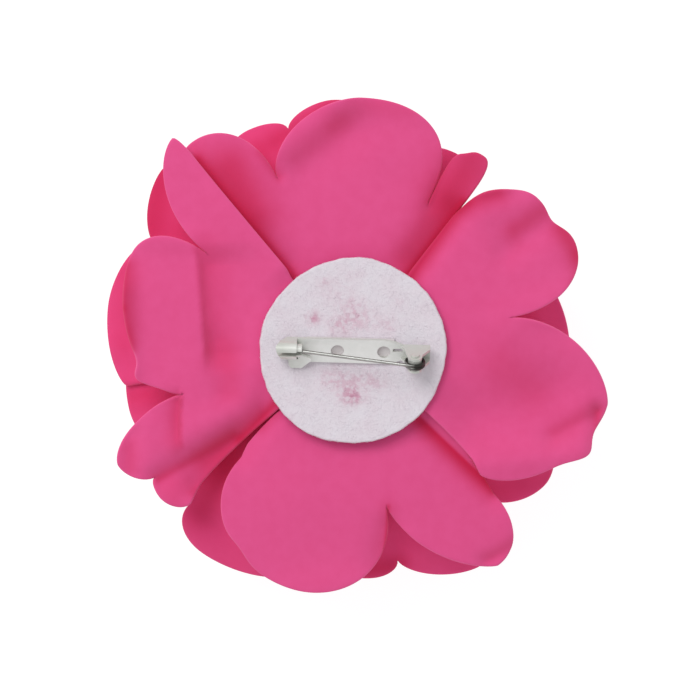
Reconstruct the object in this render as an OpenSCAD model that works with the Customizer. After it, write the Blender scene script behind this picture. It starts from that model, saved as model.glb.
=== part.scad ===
/* [Flower] */
// Diameter of the open flower, across its widest petals
flower_d = 97.5; // [90:0.5:105]
// Height from the front petals' rims to the middle of the two upper back petals
back_z = 31.84; // [31:0.01:34]
// Thickness of every petal
petal_t = 1; // [1:0.05:1.2]
// Height from one petal level to the next where they are glued
level_step = 1.22; // [1.22:0.01:1.3]
// How far a back petal sinks from the felt disc to its rim
back_droop = 5; // [3:0.1:7]
// How far a petal of the second layer sinks from its root to its rim
second_droop = 15; // [12:0.1:17]

/* [Felt disc] */
// Diameter of the felt disc
disc_d = 36.1; // [34:0.1:38]
// Thickness of the felt
disc_t = 1.6; // [1.2:0.1:2.2]
// How unevenly the disc is cut by hand
disc_wobble = 0.3; // [0:0.05:0.6]

/* [Bar pin] */
// Length of the pin back
bar_l = 30; // [28:0.1:32]
// Width of its plate
bar_w = 5.2; // [5:0.1:6]
// Thickness of its plate
bar_t = 0.6; // [0.5:0.05:0.8]
// Angle by which it is glued rolled over on its long side
bar_roll = 30; // [20:1:32]
// Angle by which it is glued turned on the disc
bar_turn = -1.5; // [-4:0.5:4]
// Diameter of the two glue holes
bar_hole_d = 2.6; // [2:0.1:3]
// Diameter of the pin wire
wire_d = 0.66; // [0.6:0.02:0.8]
// Height of the hinge rivet over the plate
hinge_z = 3.9; // [3.6:0.05:4.1]
// Diameter of the wire's coil, between the middles of the wire
coil_d = 3.44; // [3.2:0.02:3.6]
// Outer diameter of the rolled catch
catch_d = 3.7; // [3.5:0.05:3.9]
// Width of the slot through which the wire leaves the catch
catch_slot = 0.84; // [0.8:0.01:1.1]
// Length of the lock's thumb tab, from the middle of its sleeve
tab_l = 4.4; // [4:0.1:5]

/* [Hidden] */

pink = [0.87, 0.27, 0.5];
deep_pink = [0.78, 0.16, 0.4];
steel = [0.78, 0.79, 0.78];

// The flower's middle, seen from the middle of its outline
hub = [-1, -1.2];
// Space left between two petals that lie beside each other
side_gap = 0.3;
// The petal tables are drawn at this diameter
drawn_d = 97.5;
grow = flower_d / drawn_d;
// Radius at which the hidden petals start, and the one at which the four back petals do
root_r = 2;
back_root_r = 4;
// Folds grow to their full depth over this distance from the felt disc
fold_fade = 10;
// Widest step in degrees between an outline's points, for the back petals and the second layer
back_dir_step = 4;
second_dir_step = 6;

// Columns of a lobe: its outline starts at a direction and radius, swells to its peak and ends.
// A fullness of 1 is a straight shoulder, 2 a round one and 3 a square one.
FROM = 0; FROM_R = 1; FROM_FULL = 2; PEAK = 3; REACH = 4; TO_FULL = 5; TO = 6; TO_R = 7;
// Columns of a fold, a line from one polar point to another that sinks the petal beside it
A_DIR = 0; A_R = 1; B_DIR = 2; B_R = 3; WIDTH = 4; SINK = 5;
// Columns of an edge wave, and of the sweep of a petal's two sides towards its root
WAVE_DIR = 0; WAVE_H = 1; WAVE_W = 2;

top_lobes = [
    [52.3, 36.5, 2.4, 56, 45.6, 3, 63.2, 32],
    [63.2, 32, 2.6, 88, 49.4, 1.6, 113.7, 36.8],
    [113.7, 36.8, 2, 128, 51.5, 2, 135, 44]
];
top_folds = [
    [91.9, 45.9, 105.6, 40.6, 3, 1.2],
    [95.4, 48.2, 79.1, 48.8, 2.4, 1],
    [115.9, 36, 118, 22, 4, 0.9],
    [62.9, 33, 65, 24, 3.5, 1.4],
    [133, 48, 131, 24, 4, 1]
];
right_lobes = [
    [-44.3, 34.6, 1.4, -12, 50.9, 1.4, 11.7, 31.6],
    [11.7, 31.6, 2, 27, 48.4, 2, 52.4, 36.3]
];
right_waves = [[-24, 2.3, 3.4], [33, -1.4, 3.5]];
right_folds = [
    [-13, 31.5, -4, 27, 6, 1.3],
    [-30, 27, -23, 37, 3, -0.6],
    [-21, 40.5, -14, 41.5, 2.2, 0.8],
    [-20, 49.5, -12, 50.5, 3, 1.6],
    [34, 42, 41, 45, 2.2, 1],
    [21, 47.5, 29, 47.5, 3, 1.6]
];
bottom_lobes = [
    [222, 30.3, 1.7, 257, 48.1, 2, 282.1, 31.2],
    [282.1, 31.2, 1.2, 304, 50.7, 2, 314.6, 39]
];
bottom_waves = [[240, -1.2, 4]];
bottom_folds = [
    [310.5, 49, 304.6, 47.7, 2, 1],
    [281, 35.7, 276, 41.5, 2.6, 1.3],
    [318, 24, 316.5, 36, 3.5, 1]
];
left_lobes = [
    [129.9, 49.5, 2, 130.8, 54.4, 1.5, 146.3, 34.3],
    [146.3, 34.3, 2.2, 157, 47.2, 1.5, 194.3, 34.6],
    [194.3, 34.6, 1.6, 206, 51.1, 1.6, 212.6, 46],
    [212.6, 46, 2, 217, 47.4, 1.8, 223.4, 43.5]
];
left_waves = [[187.5, 2.6, 3.4]];
left_folds = [
    [149, 31, 190, 26, 3.6, 1.3],
    [150, 38, 186, 33, 3, -0.5],
    [212.8, 47, 215, 22, 2.6, 1.8],
    [224, 46, 221, 24, 5, 2.2],
    [157, 49, 175, 46, 2.4, 1.2],
    [203, 46, 199, 36, 3, -0.7]
];

// The valley in which the top and the right petal meet, and the dip beside the left petal
meeting_folds = [
    [52.4, 20, 52.4, 38, 4.6, 2.4]
];

second_lobes = [
    [
        [54.5, 35.1, 2, 61, 43.7, 2, 70, 41.5],
        [70, 41.5, 1.6, 95, 49.3, 1.6, 106.3, 45.2],
        [106.3, 45.2, 2, 115.5, 47.8, 2, 126.5, 40]
    ],
    [
        [127.5, 45, 2, 136.5, 51.6, 1.4, 151.8, 44],
        [151.8, 44, 2, 168, 48.8, 1.5, 188, 44]
    ],
    [
        [189, 44, 2, 195, 45.3, 2, 207, 40],
        [207, 40, 1.7, 217, 43, 1.5, 223.9, 43],
        [223.9, 43, 2.2, 234, 49.6, 1.6, 262, 41.9]
    ],
    [
        [264, 41.5, 2, 275, 44.6, 2, 282, 41.9],
        [282, 41.9, 1.4, 300, 49, 2, 311, 37],
        [311, 37, 1.6, 326, 45.9, 2, 336, 39]
    ],
    [
        [337, 39, 2, 358, 42.4, 2, 383, 38],
        [383, 38, 2, 396, 43.5, 2, 410.5, 30]
    ]
];

// Sections of a cupped petal along its length: the length of each and the angle that it turns
cup_sections = [[10, 0], [16, 72], [12, 0], [9, -38]];
inner_sections = [[4, 0], [10.5, 80], [14, 0], [6, -28]];
heart_sections = [[2.5, 0], [7.5, 86], [15.5, 0], [4, -18]];

// Wire and sleeve clearances
run_gap = 0.07;
// Thickness of the sheet that the catch is rolled from
sheet_t = 0.45;
hinge_x = bar_l / 2 - 2.95;
catch_end_x = -bar_l / 2 + 4.1;
catch_y = bar_w / 2 - catch_d / 2;
catch_z = catch_d / 2 - sheet_t + 0.05;
sleeve_d = catch_d - 2 * sheet_t - 2 * run_gap;
bore_d = sleeve_d - 0.8;
coil_pitch = wire_d - 0.06;
cheek_in = 1.05;
cheek_t = 0.5;
// The wire's point inside the catch, the length of its taper and the width left at the point
tip = [-bar_l / 2 + 1.6, catch_y + 0.03, catch_z - 0.35];
taper_l = 3.3;
point_d = 0.16;

// Middle of the bar on the disc
bar_at = hub + [0, -0.15];
disc_z = back_z + petal_t / 2 + 0.2;
bar_z = disc_z + disc_t + 0.1 + bar_w / 2 * sin(bar_roll) + bar_t * cos(bar_roll);

function polar(dir, r) = [r * cos(dir), r * sin(dir)];
function ramp(x, from, to) =
    let (t = min(1, max(0, (x - from) / (to - from)))) t * t * (3 - 2 * t);
function total(list, i = 0) = i >= len(list) ? 0 : list[i] + total(list, i + 1);

// Distance from a point to the line between two points
function line_gap(p, a, b) =
    let (along = b - a, t = min(1, max(0, (p - a) * along / (along * along))))
    norm(p - a - t * along);

function folds_sink(p, folds) = total([
    for (f = folds)
        let (gap = line_gap(p, polar(f[A_DIR], f[A_R]), polar(f[B_DIR], f[B_R])))
        f[SINK] * exp(-pow(gap / f[WIDTH], 2))
]);

// The lobe in which a direction lies
function lobe_at(lobes, dir, i = 0) =
    (i == len(lobes) - 1 || dir <= lobes[i][TO]) ? lobes[i] : lobe_at(lobes, dir, i + 1);

// Radius of a petal's outline in a direction
function outline_r(lobes, waves, dir) =
    let (
        lobe = lobe_at(lobes, dir),
        rising = dir <= lobe[PEAK],
        span = rising ? lobe[PEAK] - lobe[FROM] : lobe[TO] - lobe[PEAK],
        full = rising ? lobe[FROM_FULL] : lobe[TO_FULL],
        start = rising ? lobe[FROM_R] : lobe[TO_R],
        u = min(1, abs(dir - lobe[PEAK]) / span),
        swell = pow(1 - pow(u, full), 1 / full),
        wave = total([for (w = waves) w[WAVE_H] * exp(-pow((dir - w[WAVE_DIR]) / w[WAVE_W], 2))])
    )
    start + (lobe[REACH] - start) * swell + wave;

// Directions at which an outline is sampled, closer together at the notches
function lobe_steps(width, step) = max(2, min(8, ceil(width / step)));
function sample_dirs(lobes, step) = concat(
    [lobes[0][FROM]],
    [
        for (lobe = lobes) each concat(
            let (n = lobe_steps(lobe[PEAK] - lobe[FROM], step))
            [for (k = [1:n]) lobe[PEAK] - (lobe[PEAK] - lobe[FROM]) * cos(90 * k / n)],
            let (n = lobe_steps(lobe[TO] - lobe[PEAK], step))
            [for (k = [1:n]) lobe[PEAK] + (lobe[TO] - lobe[PEAK]) * sin(90 * k / n)]
        )
    ]
);

// A closed wall of even thickness on a grid of points, one row of the grid per direction
function grid_normal(grid, i, j) =
    let (
        last_i = len(grid) - 1,
        last_j = len(grid[0]) - 1,
        across = grid[min(i + 1, last_i)][j] - grid[max(i - 1, 0)][j],
        along = grid[i][min(j + 1, last_j)] - grid[i][max(j - 1, 0)],
        n = cross(along, across)
    )
    n / norm(n);

module sheet_wall(grid, thickness) {
    rows = len(grid);
    cols = len(grid[0]);
    count = rows * cols;
    upper = [
        for (i = [0:rows - 1], j = [0:cols - 1])
            grid[i][j] + grid_normal(grid, i, j) * thickness / 2
    ];
    lower = [
        for (i = [0:rows - 1], j = [0:cols - 1])
            grid[i][j] - grid_normal(grid, i, j) * thickness / 2
    ];
    rim = concat(
        [for (j = [0:cols - 1]) j],
        [for (i = [1:rows - 1]) i * cols + cols - 1],
        [for (j = [cols - 2:-1:0]) (rows - 1) * cols + j],
        [for (i = [rows - 2:-1:1]) i * cols]
    );
    faces = concat(
        [
            for (i = [0:rows - 2], j = [0:cols - 2])
                let (a = i * cols + j, b = a + 1, c = a + cols, d = c + 1)
                each [[a, d, b], [a, c, d], [count + a, count + b, count + d], [count + a, count + d, count + c]]
        ],
        [
            for (k = [0:len(rim) - 1])
                let (a = rim[k], b = rim[(k + 1) % len(rim)])
                each [[a, count + b, count + a], [a, b, count + b]]
        ]
    );
    polyhedron(concat(upper, lower), faces, convexity = 6);
}

// A back petal: a shallow sheet whose outline, folds and droop follow its tables.
// sweep turns its two sides near the root, in degrees.
module back_petal(lobes, waves, folds, level, sweep) {
    flat_r = disc_d / 2;
    dirs = sample_dirs(lobes, back_dir_step);
    rings = 7;
    first = lobes[0][FROM];
    last = lobes[len(lobes) - 1][TO];
    grid = [
        for (dir = dirs)
            let (
                reach = outline_r(lobes, waves, dir),
                across = (dir - first) / (last - first)
            )
            [
                for (k = [0:rings])
                    let (
                        s = k / rings,
                        turn = (sweep[0] * pow(1 - across, 4) + sweep[1] * pow(across, 4)) * sqrt(1 - s),
                        r = back_root_r + (reach - back_root_r) * s,
                        p = polar(dir + turn, r),
                        droop = back_droop * pow(max(0, r - flat_r) / (drawn_d / 2 - flat_r), 2),
                        sink = folds_sink(p, folds) + folds_sink(p, meeting_folds)
                    )
                    [
                        p[0] * grow,
                        p[1] * grow,
                        back_z - level * level_step - droop - sink * ramp(r, flat_r, flat_r + fold_fade)
                    ]
            ]
    ];
    translate([hub[0], hub[1], 0]) sheet_wall(grid, petal_t);
}

// A petal of the second layer, which shows only past the back petals and droops further
module second_petal(lobes) {
    flat_r = 14;
    dirs = sample_dirs(lobes, second_dir_step);
    rings = 6;
    grid = [
        for (dir = dirs)
            let (
                reach = outline_r(lobes, [], dir),
                across = (dir - lobes[0][FROM]) / (lobes[len(lobes) - 1][TO] - lobes[0][FROM])
            )
            [
                for (k = [0:rings])
                    let (
                        r = root_r + (reach - root_r) * k / rings,
                        turn = asin(side_gap / 2 / r) * (1 - 2 * across),
                        p = polar(dir + turn, r * grow),
                        droop = second_droop * pow(max(0, r - flat_r) / (drawn_d / 2 - flat_r), 1.7)
                    )
                    [p[0], p[1], back_z - 2 * level_step - droop]
            ]
    ];
    translate([hub[0], hub[1], 0]) sheet_wall(grid, petal_t);
}

// Radius, depth and slope at a length along a chain of sections that turn towards the front
function section_walk(sections, l, at = [0, 0, 0], i = 0) =
    let (
        last = i == len(sections) - 1,
        run = last ? l : min(l, sections[i][0]),
        turn = sections[i][1] * run / sections[i][0],
        mid = at[2] + turn / 2,
        next = [at[0] + run * cos(mid), at[1] + run * sin(mid), at[2] + turn]
    )
    (last || l <= sections[i][0]) ? next : section_walk(sections, l - run, next, i + 1);

// A petal cupped towards the front. One side is tucked inside its neighbour and the other lies
// outside the next. Its tip is round, with a small notch and a ruffled rim.
// count petals share a level; half_angle is how far each reaches to both sides of its direction.
// flare is how much wider than its arcs it starts, tuck the tucked side's depth, and the ruffle
// runs through phase degrees at the petal's middle.
module cupped_petal(sections, length, count, dir, half_angle, level, tuck, ruffle, phase, rings) {
    columns = 10;
    flare = 1.2;
    notch = 0.6;
    notch_w = 0.12;
    shoulder = 0.8;
    root = root_r - flare;
    sector = 180 / count;
    grid = [
        for (i = [0:columns])
            let (
                v = sin(90 * (2 * i / columns - 1)),
                round_tip = shoulder + (1 - shoulder) * sqrt(1 - v * v),
                tip_l = length * round_tip - notch * exp(-pow(v / notch_w, 2))
            )
            [
                for (k = [0:rings])
                    let (
                        l = tip_l * k / rings,
                        walk = section_walk(sections, l),
                        open = ramp(l, length * 0.22, length * 0.42),
                        wave = ruffle * sin(360 * v + phase) * ramp(l, length * 0.7, length),
                        side = tuck * v * open + wave,
                        r = root + walk[0] + side * sin(walk[2]) + flare * (1 - k / rings),
                        spread = (half_angle - sector) * ramp(l, length * 0.42, length * 0.6),
                        wide = sector + spread - asin(side_gap / 2 / r),
                        depth = walk[1] - side * cos(walk[2]),
                        p = polar(dir + wide * v, r)
                    )
                    [p[0], p[1], back_z - level * level_step - depth]
            ]
    ];
    translate([hub[0], hub[1], 0]) sheet_wall(grid, petal_t);
}

module back_petal_top() {
    color(pink) back_petal(top_lobes, [], top_folds, level = 1, sweep = [0.2, -1.5]);
}

module back_petal_right() {
    color(pink) back_petal(right_lobes, right_waves, right_folds, level = 0, sweep = [6, 0]);
}

module back_petal_bottom() {
    color(pink) back_petal(bottom_lobes, bottom_waves, bottom_folds, level = 1, sweep = [-2, 4.5]);
}

module back_petal_left() {
    color(pink) back_petal(left_lobes, left_waves, left_folds, level = 0, sweep = [0.4, -6.6]);
}

module cup_petal(i) {
    color(deep_pink) cupped_petal(
        cup_sections, length = 47, count = 5, dir = 18 + 72 * i, half_angle = 41, level = 3,
        tuck = 1.5, ruffle = 0.7, phase = 180, rings = 8
    );
}

module inner_petal(i) {
    color(pink) cupped_petal(
        inner_sections, length = 34.3, count = 4, dir = 40 + 90 * i, half_angle = 50, level = 4,
        tuck = 1.3, ruffle = 0.5, phase = 70 * i, rings = 7
    );
}

module heart_petal(i) {
    color(pink) cupped_petal(
        heart_sections, length = 29, count = 3, dir = 75 + 120 * i, half_angle = 64, level = 5,
        tuck = 1.1, ruffle = 0.3, phase = 90 * i, rings = 6
    );
}

// The bud: one long petal rolled up on itself, with a loose wavy rim
module bud() {
    turns = 1.9;
    steps = 30;
    rings = 4;
    height = 23;
    step_up = 1.5;
    inner_r = 1.5;
    growth = 3.3;
    flare = 0.9;
    ruffle = 0.7;
    waves = 1.7;
    bud_z = back_z - 5 * level_step - petal_t / 2 - 0.5;
    grid = [
        for (i = [0:steps])
            let (t = i / steps, dir = 360 * turns * t)
            [
                for (k = [0:rings])
                    let (
                        s = k / rings,
                        r = inner_r + (growth - flare * (1 - s) + flare * s * s) * t,
                        wave = ruffle * sin(dir * waves) * s,
                        p = polar(-dir, r)
                    )
                    [p[0], p[1], bud_z - (height - step_up * (1 - t)) * s - wave]
            ]
    ];
    color(deep_pink) translate([hub[0], hub[1], 0]) sheet_wall(grid, petal_t);
}

// The felt disc, cut by hand a little out of round
module felt_disc() {
    corners = 60;
    edge = [
        for (i = [0:corners - 1])
            let (
                a = 360 * i / corners,
                wobble = sin(2 * a + 20) * 0.5 + sin(5 * a) * 0.3 + sin(9 * a + 70) * 0.2
            )
            polar(a, disc_d / 2 + disc_wobble * wobble)
    ];
    color("white") translate([hub[0], hub[1], disc_z]) linear_extrude(disc_t) polygon(edge);
}

// Puts the bar pin, drawn flat with its plate's upper face at height 0, in its place on the felt
module on_felt() {
    translate([bar_at[0], bar_at[1], bar_z]) rotate([0, 0, bar_turn]) rotate([bar_roll, 0, 0]) children();
}

// The bed of glue that fills the wedge between the felt and the plate rolled over on its side
module glue_bed() {
    reach = bar_w / 2 - 0.5;
    low = disc_z + disc_t + 0.02 - bar_z;
    under = bar_t + 0.04;
    function below(y) = [y * cos(bar_roll) + under * sin(bar_roll), y * sin(bar_roll) - under * cos(bar_roll)];
    section = [
        [-1.55, low],
        [2.75, low],
        [2.55, low + 0.7],
        below(reach),
        below(-reach)
    ];
    color([0.8, 0.78, 0.78]) translate([bar_at[0], bar_at[1], bar_z]) rotate([0, 0, bar_turn])
        rotate([90, 0, 90]) translate([0, 0, -9]) linear_extrude(17) polygon(section);
}

module plate_outline() {
    neck = cheek_in + cheek_t;
    nose = -bar_l / 2 + 0.6;
    polygon([
        [nose, -bar_w / 2 + 1.6],
        [nose + 1.1, -bar_w / 2 + 0.4],
        [nose + 2.6, -bar_w / 2],
        [hinge_x - 6, -bar_w / 2],
        [hinge_x - 4, -bar_w / 2 + 0.35],
        [hinge_x - 2.2, -neck],
        [bar_l / 2, -neck],
        [bar_l / 2, neck],
        [hinge_x - 2.2, neck],
        [hinge_x - 4, bar_w / 2 - 0.35],
        [hinge_x - 6, bar_w / 2],
        [nose, bar_w / 2]
    ]);
}

// A cheek of the hinge, seen from its side
module cheek_outline() {
    translate([hinge_x, hinge_z]) circle(d = 2.8, $fn = 48);
    translate([hinge_x, 0])
        polygon([[-2.9, -0.1], [2.9, -0.1], [2.9, 1.2], [1.4, hinge_z - 0.5], [1.4, hinge_z], [-1.4, hinge_z], [-2, 1.4]]);
}

// What is cut off the rolled sheet's corners at its free end, seen from straight above
module nose_cut() {
    polygon([
        [-17, 4],
        [-12.7, 4],
        [-12.9, 2.5],
        [-14.2, 1.7],
        [-15, 0.5],
        [-14.7, -0.9],
        [-13.9, -1.8],
        [-12.6, -2.4],
        [-12.6, -4],
        [-17, -4]
    ]);
}

// The plate with its glue holes, the rolled catch at one end and the hinge cheeks at the other
module pin_plate() {
    catch_l = catch_end_x + bar_l / 2;
    color(steel) on_felt() {
        difference() {
            union() {
                translate([0, 0, -bar_t]) linear_extrude(bar_t) plate_outline();
                translate([-bar_l / 2, catch_y, catch_z]) rotate([0, 90, 0])
                    cylinder(d = catch_d, h = catch_l, $fn = 64);
                translate([-bar_l / 2, bar_w / 2 - sheet_t, -bar_t])
                    cube([catch_l, sheet_t, catch_z + bar_t]);
            }
            translate([-bar_l / 2 - 1, catch_y, catch_z]) rotate([0, 90, 0])
                cylinder(d = catch_d - 2 * sheet_t, h = catch_l + 2, $fn = 64);
            translate([-bar_l / 2 - 1, catch_y - catch_slot / 2, catch_z])
                cube([catch_l + 2, catch_slot, catch_d]);
            rotate([-bar_roll, 0, 0]) translate([0, 0, -8]) linear_extrude(16) nose_cut();
            for (x = [-3, 6])
                translate([x, 0, -bar_t - 1]) cylinder(d = bar_hole_d, h = bar_t + 2, $fn = 48);
            translate([hinge_x - 4.3, 0.1, -bar_t - 1]) cube([1.9, 0.7, bar_t + 2]);
        }
        for (side = [-1, 1])
            difference() {
                translate([0, side > 0 ? cheek_in + cheek_t : -cheek_in, 0]) rotate([90, 0, 0])
                    linear_extrude(cheek_t) cheek_outline();
                translate([hinge_x, 4, hinge_z]) rotate([90, 0, 0]) cylinder(d = 1.16, h = 8, $fn = 48);
            }
    }
}

// The rivet: a spool that carries the coil, with a peened head outside each cheek
module hinge_rivet() {
    spool_d = coil_d - wire_d - 2 * run_gap;
    head_in = cheek_in + cheek_t + 0.03;
    color(steel) on_felt() translate([hinge_x, 0, hinge_z]) rotate([90, 0, 0]) {
        cylinder(d = spool_d, h = 2 * cheek_in - 0.1, center = true, $fn = 48);
        cylinder(d = 1.1, h = 2 * head_in + 0.2, center = true, $fn = 48);
        for (side = [-1, 1])
            translate([0, 0, side * (head_in + 0.16)]) cylinder(d = 1.6, h = 0.32, center = true, $fn = 48);
    }
}

// The wire from one point to another, where it ends in a sharp point
module sharp_wire(from, to) {
    along = to - from;
    l = norm(along);
    translate(from) rotate([0, acos(along[2] / l), atan2(along[1], along[0])]) rotate_extrude($fn = 32)
        polygon([[0, 0], [wire_d / 2, 0], [wire_d / 2, l - taper_l], [point_d / 2, l], [0, l]]);
}

// The pin: a straight sharp wire whose other end is coiled twice round the rivet
module pin_stem() {
    reach = [hinge_x - tip[0], hinge_z - tip[2]];
    slope = atan2(reach[1], reach[0]) + asin(coil_d / 2 / norm(reach));
    coil_end = [hinge_x - coil_d / 2 * sin(slope), coil_pitch / 2, hinge_z + coil_d / 2 * cos(slope)];
    color(steel) on_felt() {
        for (side = [-1, 1])
            translate([hinge_x, side * coil_pitch / 2, hinge_z]) rotate([90, 0, 0])
                rotate_extrude($fn = 64) translate([coil_d / 2, 0]) circle(d = wire_d, $fn = 32);
        sharp_wire(coil_end, tip);
    }
}

// The thumb tab, flat, with the sleeve's middle line along the first axis
module tab_outline() {
    polygon([
        [0, -1],
        [0, -2.05],
        [-1.9, -2.1],
        [-1.8, -3.6],
        [-1.4, -tab_l],
        [0.7, -tab_l],
        [2.5, -2.5],
        [2.5, -1.9],
        [0.7, -1]
    ]);
}

// The lock: a slotted sleeve that turns inside the catch, with its thumb tab beside the catch
module lock_sleeve() {
    sleeve_l = 3.9;
    start_x = catch_end_x + 1 - sleeve_l;
    tab_tilt = 12;
    color(steel) on_felt() translate([0, catch_y, catch_z]) {
        difference() {
            union() {
                translate([start_x, 0, 0]) rotate([0, 90, 0]) cylinder(d = sleeve_d, h = sleeve_l, $fn = 64);
                rotate([tab_tilt, 0, 0]) translate([catch_end_x + 0.3, 0, -0.25]) linear_extrude(0.5) tab_outline();
            }
            translate([start_x - 1, 0, 0]) rotate([0, 90, 0]) cylinder(d = bore_d, h = sleeve_l + 2, $fn = 64);
            translate([start_x - 1, -catch_slot / 2, 0]) cube([sleeve_l + 2, catch_slot, catch_d]);
        }
    }
}

back_petal_top();
back_petal_right();
back_petal_bottom();
back_petal_left();
for (i = [1:5]) color(deep_pink) second_petal(second_lobes[i - 1]);
for (i = [1:5]) cup_petal(i);
for (i = [1:4]) inner_petal(i);
for (i = [1:3]) heart_petal(i);
bud();
felt_disc();
glue_bed();
pin_plate();
hinge_rivet();
pin_stem();
lock_sleeve();
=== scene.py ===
"""Dresses a fabric flower brooch that lies face down, with its felt disc and bar pin on top."""

import logging
import math
from collections.abc import Callable
from dataclasses import dataclass
from functools import partial
from typing import ClassVar

import bpy
import numpy as np
from bpy.types import ID, Material, Node, NodeOutputs, NodeSocket, NodeTree, Object
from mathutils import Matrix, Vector


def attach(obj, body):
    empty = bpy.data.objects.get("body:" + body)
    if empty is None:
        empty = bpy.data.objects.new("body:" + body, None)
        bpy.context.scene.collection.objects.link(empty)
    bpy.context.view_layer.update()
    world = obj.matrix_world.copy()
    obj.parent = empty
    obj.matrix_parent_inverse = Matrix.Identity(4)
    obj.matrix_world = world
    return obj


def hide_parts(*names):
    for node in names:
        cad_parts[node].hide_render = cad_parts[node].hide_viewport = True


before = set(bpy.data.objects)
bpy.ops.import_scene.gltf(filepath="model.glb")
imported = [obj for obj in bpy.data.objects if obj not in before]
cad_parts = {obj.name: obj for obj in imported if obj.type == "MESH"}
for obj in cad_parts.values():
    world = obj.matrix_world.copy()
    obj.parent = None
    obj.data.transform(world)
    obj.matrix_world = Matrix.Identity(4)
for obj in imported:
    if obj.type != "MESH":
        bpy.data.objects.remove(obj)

MM = 0.001
HUB = (-1.0, -1.2)
SHORTEST = 1e-6
TINY = 1e-9
OUTLINE_SAMPLES = 1500
FEWEST_STEPS = 6
NOISE_WAVES = 7
LOG = logging.getLogger("brooch")
Array = np.ndarray
Height = Callable[[Array, Array], Array]
Colour = tuple[float, float, float]
Inputs = dict[str | int, object]


@dataclass(frozen=True)
class Lobe:
    """One lobe of a petal's outline, in degrees and millimetres about the hub."""

    start: float
    start_r: float
    start_full: float
    peak: float
    reach: float
    end_full: float
    end: float
    end_r: float


@dataclass(frozen=True)
class Wave:
    """A bump or bay on a petal's edge."""

    direction: float
    height: float
    half_width: float


@dataclass(frozen=True)
class Stroke:
    """A line over a petal from a to b, in millimetres, with its width and how far the cloth sinks."""

    ax: float
    ay: float
    bx: float
    by: float
    width: float
    sink: float


@dataclass(frozen=True)
class Fold(Stroke):
    """A soft valley along a line; a negative sink makes a ridge."""

    right: float | None = None

    def depth(self, x: Array, y: Array) -> Array:
        """Depth of the valley at points of the petal; right is its width on the right, where it differs.

        Args:
            x: Points across, in millimetres.
            y: Points up, in millimetres.

        Returns:
            How far each point sinks, in millimetres.
        """
        span = (self.bx - self.ax) ** 2 + (self.by - self.ay) ** 2 + SHORTEST
        t = np.clip(((x - self.ax) * (self.bx - self.ax) + (y - self.ay) * (self.by - self.ay)) / span, 0, 1)
        gap = np.hypot(x - self.ax - t * (self.bx - self.ax), y - self.ay - t * (self.by - self.ay))
        side = (x - self.ax) * (self.by - self.ay) - (y - self.ay) * (self.bx - self.ax)
        rightward = 0.5 + 0.5 * side / (gap * math.sqrt(span) + TINY)
        width = self.width + ((self.right or self.width) - self.width) * rightward
        return self.sink * np.exp(-((gap / width) ** 2))


@dataclass(frozen=True)
class Shade(Fold):
    """A soft stroke of painted shade along a line: shadows by seams and edges, shade in creases and darker
    rims; its sink is the share of the painted shade colour.
    """


@dataclass(frozen=True)
class Pleat(Stroke):
    """A crisp bend: the cloth drops on the right of a line and rises slowly again."""

    fade: float
    lead: float = 0.2

    def depth(self, x: Array, y: Array) -> Array:
        """Depth of the bend at points of the petal.

        Args:
            x: Points across, in millimetres.
            y: Points up, in millimetres.

        Returns:
            How far each point sinks, in millimetres.
        """
        length = math.hypot(self.bx - self.ax, self.by - self.ay)
        ux, uy = (self.bx - self.ax) / length, (self.by - self.ay) / length
        along = (x - self.ax) * ux + (y - self.ay) * uy
        right = (x - self.ax) * uy - (y - self.ay) * ux
        ends = smooth(along, -self.fade, self.fade)
        ends = ends * (1 - smooth(along, length - self.fade, length + self.fade))
        t = np.maximum(right + self.lead, 0) / self.width
        return self.sink * ends * t * np.exp(1 - t)


def smooth(x: Array, low: float, high: float) -> Array:
    """Soft step from 0 at low to 1 at high."""
    t = np.clip((x - low) / (high - low), 0, 1)
    return t * t * (3 - 2 * t)


def soft_noise(x: Array, y: Array, size: float, seed: int) -> Array:
    """Smooth unevenness made of a few plane waves.

    Args:
        x: Points across, in millimetres.
        y: Points up, in millimetres.
        size: Typical length of a swelling, in millimetres.
        seed: Fixed seed of the waves' directions.

    Returns:
        Values from about -1 to 1.
    """
    rng = np.random.default_rng(seed)
    total = np.zeros_like(x)
    for _ in range(NOISE_WAVES):
        angle, phase = rng.uniform(0, 2 * math.pi, 2)
        k = 2 * math.pi / (size * rng.uniform(0.7, 1.5))
        total += np.sin(k * (x * math.cos(angle) + y * math.sin(angle)) + phase)
    return total / (NOISE_WAVES / 2)


def outline_radius(lobes: tuple[Lobe, ...], waves: tuple[Wave, ...], dirs: Array) -> Array:
    """Radius of a petal's outline.

    Args:
        lobes: The outline's lobes in order.
        waves: Bumps and bays added to it.
        dirs: Directions in degrees.

    Returns:
        One radius for each direction, in millimetres.
    """
    radius = np.zeros_like(dirs)
    for index, lobe in enumerate(lobes):
        inside = dirs <= lobe.end if index == 0 else (dirs > lobes[index - 1].end) & (dirs <= lobe.end)
        if index == len(lobes) - 1:
            inside |= dirs > lobe.end
        rising = dirs <= lobe.peak
        span = np.where(rising, lobe.peak - lobe.start, lobe.end - lobe.peak)
        full = np.where(rising, lobe.start_full, lobe.end_full)
        base = np.where(rising, lobe.start_r, lobe.end_r)
        u = np.clip(np.abs(dirs - lobe.peak) / span, 0, 1)
        swell = (1 - u**full) ** (1 / full)
        radius = np.where(inside, base + (lobe.reach - base) * swell, radius)
    for wave in waves:
        radius = radius + wave.height * np.exp(-(((dirs - wave.direction) / wave.half_width) ** 2))
    return radius


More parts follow.
